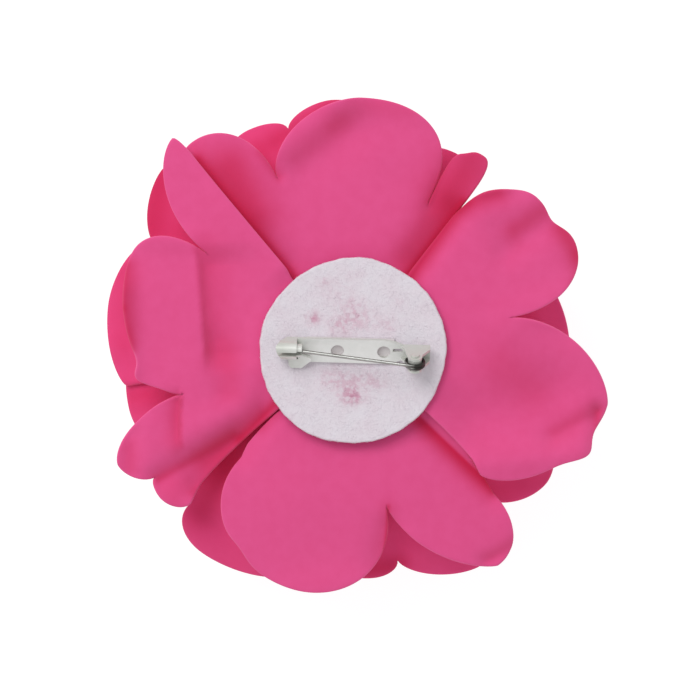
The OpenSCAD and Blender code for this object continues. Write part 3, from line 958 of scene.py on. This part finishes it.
@dataclass
class DrawnPetals(Petals):
    """Petals whose outline, relief and shading follow the photograph."""

    round_r: float = 29.0
    flat_r: float = 18.05
    drawn_r: float = 48.75
    droop: float = 2.2
    spread: float = 1.0
    step: float = 0.55
    rings: tuple[int, int] = (50, 46)

    def drawn(self, x: Array, y: Array) -> tuple[Array, Array]:
        """Radius of each point, and its share of the way from the flat middle to the tips."""
        r = np.hypot(x - HUB[0], y - HUB[1])
        return r, np.maximum(0, r - self.flat_r) / (self.drawn_r - self.flat_r)

    def spread_out(self, lobes: tuple[Lobe, ...], waves: tuple[Wave, ...]) -> tuple[Array, ...]:
        """Lays a petal's grid inside its outline.

        Args:
            lobes: The outline.
            waves: Bumps and bays on it.

        Returns:
            Directions in degrees and shares of the way across, as columns, and the radii.
        """
        dirs = outline_directions(lobes, self.step)
        reach = outline_radius(lobes, waves, dirs)[:, None] * self.spread
        across = ((dirs - lobes[0].start) / (lobes[-1].end - lobes[0].start))[:, None]
        return dirs[:, None], across, ring_radii(reach, self.root_r, self.round_r, self.rings)

    def cloth(self, direction: Array, r: Array, height: Height, shades: tuple[Shade, ...],
              lengthwise: float = 0) -> ClothSheet:
        """Lays a petal's cloth over its relief.

        Args:
            direction: Direction of each point in degrees.
            r: Radius of each point.
            height: Gives the height at points x and y, in millimetres.
            shades: Strokes of painted shade.
            lengthwise: Direction in degrees of the cloth's own first coordinate.

        Returns:
            The cloth.
        """
        angle = np.radians(direction)
        x, y = r * np.cos(angle) + HUB[0], r * np.sin(angle) + HUB[1]
        grid = np.stack([x, y, height(x, y)], axis=-1)
        c, s = math.cos(math.radians(lengthwise)), math.sin(math.radians(lengthwise))
        flat = np.stack([x * c + y * s, y * c - x * s], axis=-1)
        # Share of painted shade at each point, from the strokes.
        shade = 1 - math.prod(1 - item.depth(x, y) for item in shades)
        return ClothSheet(grid, flat, self.thickness, surface_normals(height, x, y), shade)


@dataclass
class BackPetals(DrawnPetals):
    """The four wide petals that the photograph shows, left and right over top and bottom."""

    root_r: float = 4.0
    fold_from: float = 15.5
    fold_full: float = 22.0
    noise_size: float = 15.0
    noise_height: float = 0.1
    shapes: tuple[PetalShape, ...] = (TOP, RIGHT, BOTTOM, LEFT)

    def height(self, shape: PetalShape, x: Array, y: Array) -> Array:
        """Height of a petal's middle surface.

        Args:
            shape: The petal's outline and relief.
            x: Points across, in millimetres.
            y: Points up, in millimetres.

        Returns:
            The heights, in millimetres.
        """
        r, drawn = self.drawn(x, y)
        noise = soft_noise(x, y, self.noise_size, shape.seed) * self.noise_height
        sink = sum(item.depth(x, y) for item in shape.folds) - noise
        free = smooth(r, self.fold_from, self.fold_full)
        return self.back_z - shape.level * self.level_step - self.droop * drawn**2 - sink * free

    def left_to(self, corner_r: float, r: Array) -> Array:
        """Share of a side edge's sweep at each radius, which fades towards the edge's corner."""
        rest = np.maximum(0, 1 - (r - self.root_r) / (corner_r - self.root_r))
        return np.where(rest > 0.1, np.sqrt(rest), rest * math.sqrt(10))

    def petal(self, shape: PetalShape) -> Object:
        """Builds one petal.

        Args:
            shape: Its outline and relief.

        Returns:
            The petal.
        """
        first, last = shape.lobes[0], shape.lobes[-1]
        dirs, across, r = self.spread_out(shape.lobes, shape.waves)
        turn = shape.sweep[0] * self.left_to(first.start_r, r) * (1 - across) ** 4
        turn = turn + shape.sweep[1] * self.left_to(last.end_r, r) * across**4
        turn = turn + shape.first_gap.degrees(r) * (1 - across) ** 9 - shape.last_gap.degrees(r) * across**9
        height = partial(self.height, shape)
        sheet = self.cloth(dirs + turn, r, height, shape.shades, (first.start + last.end) / 2)
        return self.hang(shape.node, sheet, self.wardrobe.petal, "petal", "felt_disc")

    def build(self) -> list[Object]:
        """Builds the four petals."""
        return [self.petal(shape) for shape in self.shapes]


@dataclass
class SecondPetals(DrawnPetals):
    """Five petals whose tips show past the back petals."""

    level_z: float = 29.4
    round_r: float = 26.0
    flat_r: float = 14.0
    droop: float = 15.0
    spread: float = 1.008
    step: float = 0.7
    rings: tuple[int, int] = (26, 32)
    side_gap: float = 0.12
    noise_size: float = 12.0
    noise_height: float = 0.25
    noisy_r: tuple[float, float] = (22, 34)
    seams_full_r: float = 24.0
    seams: tuple[Fold, ...] = (Fold(9.5, 12, 22, 29, 6, 1.4), Fold(-15.5, -10.5, -32, -28, 5, 1.5))
    # Painted shade on the second petals where they show in the gaps and slits between the back petals and at
    # their rims.
    shades: tuple[Shade, ...] = (
        Shade(-17, -12, -25.5, -23.5, 5, 0.8),
        Shade(-26, -24, -31, -33, 3.5, 0.6),
        Shade(12, 15, 21, 28, 5, 0.9),
        Shade(-16, 40, -4, 47.2, 2.6, 0.7),
        Shade(-19, 37, -22, 42, 4, 0.08),
        Shade(26, -28.5, 37, -26.5, 2.6, 0.35),
        Shade(2, -44, 8, -43.3, 2.4, 0.8),
        Shade(-36, -10, -44, -10.5, 2.4, 0.6),
        Shade(-34, 22, -30, 19, 3, 0.5),
        Shade(-38.5, 34, -41, 23, 5, 0.9),
        Shade(-17, 33, -19.5, 38, 2.5, 0.6),
        Shade(-46, 14, -46, 0, 2.5, 0.3),
        Shade(16, 30, 19, 37, 3, 0.5),
    )
    under: int = 3
    under_turn: float = 2.7
    under_sink: float = 1.9
    under_fade: tuple[float, float] = (0.5, 6)
    under_r: tuple[float, float] = (27, 34)
    outlines: tuple[tuple[Lobe, ...], ...] = (
        (
            Lobe(55.5, 33, 2, 62, 43.5, 2, 70, 41.5),
            Lobe(70, 41.5, 1.6, 95, 49.3, 1.6, 106.3, 45.2),
            Lobe(106.3, 45.2, 2, 115.5, 47.8, 2, 126.5, 40),
        ),
        (
            Lobe(127.5, 45, 2, 136.5, 51.6, 1.4, 151.8, 44),
            Lobe(151.8, 44, 2, 168, 48.8, 1.5, 189, 44.7),
        ),
        (
            Lobe(186.3, 44.3, 2, 195, 45.2, 2, 207, 40),
            Lobe(207, 40, 1.7, 217, 43, 1.5, 223.2, 43.8),
            Lobe(223.2, 43.8, 2.2, 233, 49.4, 1.6, 262, 41.9),
        ),
        (
            Lobe(264, 41.5, 2, 275, 44.6, 2, 282, 41.9),
            Lobe(282, 41.9, 1.4, 300, 49, 2, 311, 37),
            Lobe(311, 37, 1.6, 326, 45.9, 2, 336, 39),
        ),
        (
            Lobe(337, 39, 2, 358, 42.4, 2, 383, 38),
            Lobe(383, 38, 2, 396, 43.5, 2, 412.5, 27),
        ),
    )

    def build(self) -> list[Object]:
        """Builds the five petals."""
        return [self.petal(i + 1, lobes) for i, lobes in enumerate(self.outlines)]

    def height(self, number: int, x: Array, y: Array) -> Array:
        """Height of a petal's middle surface.

        Args:
            number: The petal's number in the CAD model.
            x: Points across, in millimetres.
            y: Points up, in millimetres.

        Returns:
            The heights, in millimetres.
        """
        r, drawn = self.drawn(x, y)
        uneven = soft_noise(x, y, self.noise_size, 60 + number) * self.noise_height * smooth(r, *self.noisy_r)
        sink = sum(seam.depth(x, y) for seam in self.seams) * smooth(r, self.flat_r, self.seams_full_r)
        if number == self.under:
            direction = np.degrees(np.arctan2(y - HUB[1], x - HUB[0])) % 360
            start = self.outlines[number - 1][0].start + self.under_turn
            beside = 1 - smooth(direction, *(start + v for v in self.under_fade))
            sink = sink + self.under_sink * beside * smooth(r, *self.under_r)
        return self.level_z - self.droop * drawn**1.7 + uneven - sink

    def petal(self, number: int, lobes: tuple[Lobe, ...]) -> Object:
        """Builds one petal.

        Args:
            number: Its number in the CAD model.
            lobes: Its outline.

        Returns:
            The petal.
        """
        dirs, across, r = self.spread_out(lobes, ())
        turn = np.degrees(np.arcsin(self.side_gap / 2 / r)) * (1 - 2 * across)
        if number == self.under:
            turn = turn + self.under_turn * (1 - smooth(r, 30, 36)) * (1 - across) ** 6
        sheet = self.cloth(dirs + turn, r, partial(self.height, number), self.shades)
        # The second petals wear the darker copy of the cloth, painted shade for their place under the back
        # petals.
        return self.hang(f"second_petal_{number}", sheet, self.wardrobe.petal_deep, "petal_deep",
                         "back_petal_left")


@dataclass(frozen=True)
class CupRing:
    """One ring of cupped petals: its sections turn towards the front along each petal."""

    node: str
    slot: str
    sections: tuple[tuple[float, float], ...]
    length: float
    count: int
    first_dir: float
    half_angle: float
    level: int
    tuck: float
    ruffle: float
    phase: float
    phase_step: float
    settled: float


@dataclass
class FrontPetals(Petals):
    """The hidden front: cup, inner and heart petals round a rolled bud."""

    side_gap: float = 0.3
    root_inset: float = 1.2
    points_across: int = 61
    tip_share: float = 0.2
    dip: float = 0.6
    dip_width: float = 0.12
    cut_flare: float = 4.0
    opens: tuple[float, float] = (0.22, 0.42)
    ruffles: tuple[float, float] = (0.7, 1)
    spreads: tuple[float, float] = (0.42, 0.6)
    settles: tuple[float, float] = (0.6, 0.9)
    walk_steps: int = 1200
    bud_level: float = 5
    bud_turns: float = 1.9
    bud_r: float = 1.5
    bud_growth: float = 3.3
    bud_flare: float = 0.9
    bud_height: float = 23.0
    bud_slope: float = 1.5
    bud_ruffle: float = 0.7
    ruffles_a_turn: float = 1.7
    rings: tuple[CupRing, ...] = (
        CupRing("cup_petal", "petal_deep", ((10, 0), (16, 72), (12, 0), (9, -38)),
                47, 5, 18, 41, 3, 1.5, 0.7, 180, 0, 0.52),
        CupRing("inner_petal", "petal", ((4, 0), (10.5, 80), (14, 0), (6, -28)),
                34.3, 4, 40, 50, 4, 1.3, 0.5, 0, 70, 0),
        CupRing("heart_petal", "petal", ((2.5, 0), (7.5, 86), (15.5, 0), (4, -18)),
                29, 3, 75, 64, 5, 1.1, 0.3, 0, 90, 0),
    )

    def walk(self, sections: tuple[tuple[float, float], ...], lengths: Array) -> tuple[Array, ...]:
        """Follows a chain of arcs that turn towards the front.

        Args:
            sections: Length and turn in degrees of each arc.
            lengths: Lengths along the chain.

        Returns:
            Distance out, depth and slope in degrees at each length.
        """
        steps = np.linspace(0, lengths.max() + 0.01, self.walk_steps)
        bend = np.zeros_like(steps)
        start = 0.0
        for index, (length, turn) in enumerate(sections):
            last = index == len(sections) - 1
            inside = np.clip(steps - start, 0, None if last else length)
            bend += inside / length * turn
            start += length
        ds = steps[1] - steps[0]
        mid = np.radians((bend[1:] + bend[:-1]) / 2)
        out = np.concatenate([[0], np.cumsum(np.cos(mid)) * ds])
        deep = np.concatenate([[0], np.cumsum(np.sin(mid)) * ds])
        return tuple(np.interp(lengths, steps, v) for v in (out, deep, bend))

    def petal(self, ring: CupRing, number: int) -> Object:
        """Builds one petal of a ring.

        Args:
            ring: The ring's sizes.
            number: The petal's number in the CAD model.

        Returns:
            The petal.
        """
        sector = 180 / ring.count
        direction = ring.first_dir + 2 * sector * number
        phase = ring.phase + ring.phase_step * number
        v = np.sin(np.radians(90 * np.linspace(-1, 1, self.points_across)))[:, None]
        tip = ring.length * (1 - self.tip_share + self.tip_share * np.sqrt(1 - v * v))
        tip = tip - self.dip * np.exp(-((v / self.dip_width) ** 2))
        s = steps_to_edge(52, 0.99, 0.995, 0.998)
        length = tip * s
        out, deep, slope = self.walk(ring.sections, length)
        slope = np.radians(slope)
        opened, ruffled, spread, settled = (
            smooth(length, ring.length * low, ring.length * high)
            for low, high in (self.opens, self.ruffles, self.spreads, self.settles))
        side = ring.tuck * v * opened + ring.ruffle * np.sin(np.radians(360 * v + phase)) * ruffled
        r = self.root_r - self.root_inset + out + side * np.sin(slope) + self.root_inset * (1 - s)
        wide = sector + (ring.half_angle - sector) * spread - np.degrees(np.arcsin(self.side_gap / 2 / r))
        angle = np.radians(direction + wide * v)
        uneven = soft_noise(length, r * wide / 30 * v, 9, 90 + number) * 0.12 * smooth(length, 8, 20)
        r = r + uneven * np.sin(slope)
        depth = deep - side * np.cos(slope)
        z = self.back_z - ring.level * self.level_step - depth + uneven * np.cos(slope)
        z = z - ring.settled * settled
        grid = np.stack([r * np.cos(angle) + HUB[0], r * np.sin(angle) + HUB[1], z], axis=-1)
        flat = np.stack([length, np.radians(wide) * v * (r + self.cut_flare)], axis=-1)
        sheet = ClothSheet(grid, flat, self.thickness)
        return self.hang(f"{ring.node}_{number}", sheet, self.wardrobe.petal, ring.slot, "second_petal_1")

    def bud(self) -> Object:
        """Builds the rolled petal in the middle.

        Returns:
            The bud.
        """
        t = np.linspace(0, 1, 240)[:, None]
        s = steps_to_edge(40, 0.99, 0.995)
        turned = 360 * self.bud_turns * t
        r = self.bud_r + self.bud_growth * t - self.bud_flare * (1 - s) * t + self.bud_flare * s * s * t
        wave = self.bud_ruffle * np.sin(np.radians(turned * self.ruffles_a_turn)) * s
        angle = np.radians(-turned)
        root_z = self.back_z - self.bud_level * self.level_step - 1.0
        z = root_z - (self.bud_height - self.bud_slope * (1 - t)) * s - wave
        grid = np.stack([r * np.cos(angle) + HUB[0], r * np.sin(angle) + HUB[1], z], axis=-1)
        along = np.radians(turned) * (self.bud_r + self.bud_growth / 2 * t)
        flat = np.stack(np.broadcast_arrays(along, self.bud_height * s), axis=-1)
        return self.hang("bud", ClothSheet(grid, flat, self.thickness), self.wardrobe.petal, "petal_deep",
                         "heart_petal_1")

    def build(self) -> list[Object]:
        """Builds the hidden petals and the bud."""
        made = [self.petal(ring, n) for ring in self.rings for n in range(1, ring.count + 1)]
        return made + [self.bud()]


@dataclass
class FeltDisc:
    """The round felt backing with its fuzz."""

    wardrobe: Wardrobe
    radius: float = 18.05
    wobble: float = 0.3
    low_z: float = 32.54
    thickness: float = 1.56
    around: int = 220
    rings: int = 34
    corner: float = 0.3
    under_corner: float = 0.25
    bulge: float = 0.05
    wall: float = 0.8
    rim_gap: float = 0.004
    fibres_per_mm2: float = 4.0
    fibre_length: float = 0.8
    fibre_radius: float = 0.013
    fibre_sides: int = 3
    fibre_stops: int = 4
    fibre_lean: float = 0.15

    def edge_radius(self, angle: Array) -> Array:
        """Radius of the hand-cut edge.

        Args:
            angle: Angles in radians.

        Returns:
            One radius for each angle, in millimetres.
        """
        uneven = 0.5 * np.sin(2 * angle + 0.35) + 0.3 * np.sin(5 * angle) + 0.2 * np.sin(9 * angle + 1.22)
        fine = 0.12 * np.sin(23 * angle + 0.4) + 0.1 * np.sin(37 * angle + 2)
        return self.radius + self.wobble * (uneven + fine)

    def profile(self, reach: Array) -> list[tuple[Array, float]]:
        """The disc's rings, from the middle of its top over the edge to the middle of its underside.

        Args:
            reach: The edge's radius at each step round.

        Returns:
            Radii and height of each ring, in millimetres.
        """
        top, corner, under = self.low_z + self.thickness, self.corner, self.under_corner
        inner = 1 - corner / self.radius - self.rim_gap
        rows = [(reach * (k / self.rings * inner), top) for k in range(1, self.rings + 1)]
        for a in (math.pi / 2 * k / 6 for k in range(7)):
            rows.append((reach - corner + corner * math.sin(a), top - corner + corner * math.cos(a)))
        for k in range(1, 4):
            rows.append((reach + self.bulge * math.sin(math.pi * k / 4), top - corner - self.wall * k / 4))
        for a in (math.pi / 2 * k / 3 for k in range(4)):
            rows.append((reach - under + under * math.cos(a), self.low_z + under - under * math.sin(a)))
        return rows + [(reach * s, self.low_z) for s in (0.8, 0.5, 0.2)]

    def build(self) -> list[Object]:
        """Builds the disc and its fuzz.

        Returns:
            The disc and the fuzz.
        """
        count = self.around
        angle = np.linspace(0, 2 * math.pi, count, endpoint=False)
        rows = self.profile(self.edge_radius(angle))
        points = []
        for r, z in rows:
            x, y = r * np.cos(angle), r * np.sin(angle)
            lift = soft_noise(x, y, 5, 7) * 0.04 + soft_noise(x, y, 1.6, 8) * 0.015
            height = z + np.where(z > self.low_z + self.corner, lift, 0)
            points.append(np.stack([x + HUB[0], y + HUB[1], height], axis=-1))
        points.append(np.array([[*HUB, self.low_z + self.thickness], [*HUB, self.low_z]]))
        last = len(rows) * count
        index = np.arange(last).reshape(-1, count)
        nxt = np.roll(index, -1, axis=1)
        faces = np.stack([index[:-1], index[1:], nxt[1:], nxt[:-1]], axis=-1).reshape(-1, 4).tolist()
        faces += [(last, a, b) for a, b in zip(index[0].tolist(), nxt[0].tolist())]
        faces += [(last + 1, b, a) for a, b in zip(index[-1].tolist(), nxt[-1].tolist())]
        mesh = bpy.data.meshes.new("felt_backing")
        mesh.from_pydata((np.concatenate(points) * MM).tolist(), [], faces)
        mesh.polygons.foreach_set("use_smooth", np.ones(len(mesh.polygons), bool))
        mesh.update()
        disc = show("felt_backing", mesh)
        self.wardrobe.wear(disc, self.wardrobe.felt)
        fuzz = self.fuzz(disc)
        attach(disc, "flower")
        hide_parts("felt_disc")
        return [disc, fuzz]

    def fuzz(self, disc: Object) -> Object:
        """Scatters short bent fibres over the disc with Geometry Nodes.

        Args:
            disc: The felt disc.

        Returns:
            The fibres as one plain mesh.
        """
        fibre = self.fibre()
        inputs = {"Geometry": "Geometry", "Fibres per square metre": "Float", "Fibre": "Object",
                  "Finish": "Material"}
        group = NodeGroup("felt_fibres", "GeometryNodeTree", inputs, {"Geometry": "Geometry"})
        add, given = group.add, group.given
        facing = add("GeometryNodeInputNormal").outputs["Normal"]
        upward = add("ShaderNodeSeparateXYZ", {0: facing}).outputs["Z"]
        scatter = add("GeometryNodeDistributePointsOnFaces", {
            "Mesh": given["Geometry"],
            "Density": given["Fibres per square metre"],
            "Selection": add("FunctionNodeCompare", {0: upward, 1: -0.3}).outputs[0],
            "Seed": 5,
        }).outputs
        lean = self.fibre_lean
        turn = add("FunctionNodeRandomValue", {0: (-lean, -lean, 0), 1: (lean, lean, 2 * math.pi), "Seed": 6},
                   data_type="FLOAT_VECTOR")
        turned = add("FunctionNodeRotateRotation", {0: scatter["Rotation"], 1: turn.outputs[0]},
                     rotation_space="LOCAL")
        size = add("FunctionNodeRandomValue", {2: 0.45, 3: 1.25, "Seed": 7}, data_type="FLOAT")
        placed = add("GeometryNodeInstanceOnPoints", {
            "Points": scatter["Points"],
            "Instance": add("GeometryNodeObjectInfo", {"Object": given["Fibre"]}).outputs["Geometry"],
            "Rotation": turned.outputs[0],
            "Scale": size.outputs[1],
        })
        real = add("GeometryNodeRealizeInstances", {0: placed.outputs[0]})
        paint = add("GeometryNodeSetMaterial", {"Geometry": real.outputs[0], "Material": given["Finish"]})
        group.fill(group.out, {0: paint.outputs[0]})
        modifier = disc.modifiers.new("fuzz", "NODES")
        modifier.node_group = group.tree
        values = {"Fibres per square metre": self.fibres_per_mm2 * 1e6, "Fibre": fibre,
                  "Finish": self.wardrobe.felt}
        for item in group.tree.interface.items_tree:
            if item.name in values:
                modifier[item.identifier] = values[item.name]
        graph = bpy.context.evaluated_depsgraph_get()
        mesh = bpy.data.meshes.new_from_object(disc.evaluated_get(graph))
        mesh.name = "felt_fuzz"
        disc.modifiers.remove(modifier)
        bpy.data.objects.remove(fibre)
        fuzz = show("felt_fuzz", mesh)
        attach(fuzz, "flower")
        return fuzz

    def fibre(self) -> Object:
        """One short fibre, three-sided and bent like a low arch.

        Returns:
            The fibre, not linked to the scene.
        """
        sides, stops = self.fibre_sides, self.fibre_stops
        verts, faces = [], []
        for k in range(stops):
            t = k / (stops - 1)
            arch = math.sin(math.pi * t)
            for j in range(sides):
                a = 2 * math.pi * j / sides
                y = 0.12 * arch + self.fibre_radius * math.cos(a)
                z = 0.01 + 0.06 * arch + self.fibre_radius * math.sin(a)
                verts.append(((t - 0.5) * self.fibre_length * MM, y * MM, z * MM))
        for k in range(stops - 1):
            for j in range(sides):
                a, b = sides * k + j, sides * k + (j + 1) % sides
                faces.append((a, b, b + sides, a + sides))
        faces.append(tuple(reversed(range(sides))))
        faces.append(tuple(range(sides * (stops - 1), sides * stops)))
        mesh = bpy.data.meshes.new("fibre")
        mesh.from_pydata(verts, [], faces)
        return bpy.data.objects.new("fibre", mesh)


@dataclass
class BarPin:
    """The bar pin: pressed plate, catch, hinge, wire and lock."""

    wardrobe: Wardrobe

    def build(self) -> list[Object]:
        """Dresses the pin's solids.

        Returns:
            The dressed solids.
        """
        nickel = self.wardrobe.nickel
        finishes = {"pin_plate": nickel, "hinge_rivet": nickel, "pin_stem": self.wardrobe.wire,
                    "lock_sleeve": nickel, "glue_bed": self.wardrobe.glue}
        for name, finish in finishes.items():
            self.wardrobe.wear(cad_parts[name], finish)
        return [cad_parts[name] for name in finishes]


@dataclass
class Studio:
    """A pale floor, soft light and the camera straight above."""

    mm_per_pixel: float = 0.195
    distance: float = 1.2
    reference_z: float = 0.031
    image: int = 700
    origin_px: tuple[float, float] = (358, 344.5)
    sensor: float = 36.0
    clip_end: float = 20.0
    half_floor: float = 3.0
    key_place: tuple[float, float, float] = (-0.85, 1.05, 1.75)
    key_aim: tuple[float, float, float] = (0, 0, 0.03)
    key_size: float = 1.2
    key_power: float = 22.0

    def build(self) -> None:
        """Sets up the floor, the light and the camera."""
        scene = bpy.context.scene
        h = self.half_floor
        floor_mesh = bpy.data.meshes.new("floor")
        floor_mesh.from_pydata([(-h, -h, 0), (h, -h, 0), (h, h, 0), (-h, h, 0)], [], [(0, 1, 2, 3)])
        show("floor", floor_mesh)
        paper = {"Base Color": (0.2, 0.2, 0.2, 1), "Roughness": 0.9, "Emission Color": (1, 1, 1, 1),
                 "Emission Strength": 0.9}
        floor_mesh.materials.append(make_material("white_paper", lambda nodes: paper))
        scene.world = bpy.data.worlds.new("studio")
        scene.world.use_nodes = True
        nodes = Nodes(scene.world.node_tree)
        nodes.fill(nodes.tree.nodes["Background"], {"Color": (1, 1, 1, 1), "Strength": 0.62})
        light = bpy.data.lights.new("key", "AREA")
        light.size = self.key_size
        light.energy = self.key_power
        key = show("key", light)
        key.location = self.key_place
        key.rotation_mode = "QUATERNION"
        aim = Vector(self.key_aim) - Vector(self.key_place)
        key.rotation_quaternion = aim.to_track_quat("-Z", "Y")
        camera = show("camera", bpy.data.cameras.new("camera"))
        pixel = self.mm_per_pixel * MM
        camera.data.sensor_width = self.sensor
        camera.data.lens = self.sensor * self.distance / (self.image * pixel)
        camera.data.clip_end = self.clip_end
        camera.location = (
            (self.image / 2 - self.origin_px[0]) * pixel,
            (self.origin_px[1] - self.image / 2) * pixel,
            self.reference_z + self.distance,
        )
        scene.camera = camera
        scene.view_settings.view_transform = "Standard"


def main() -> None:
    """Builds the studio and the brooch, and reports each piece."""
    logging.basicConfig(level=logging.INFO, format="%(message)s")
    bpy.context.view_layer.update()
    Studio().build()
    wardrobe = Wardrobe()
    builders = (BackPetals, SecondPetals, FrontPetals, FeltDisc, BarPin)
    for part in (builder(wardrobe) for builder in builders):
        for obj in part.build():
            LOG.info("%s: %s with %d faces", type(part).__name__, obj.name, len(obj.data.polygons))


if __name__ == "__main__":
    main()
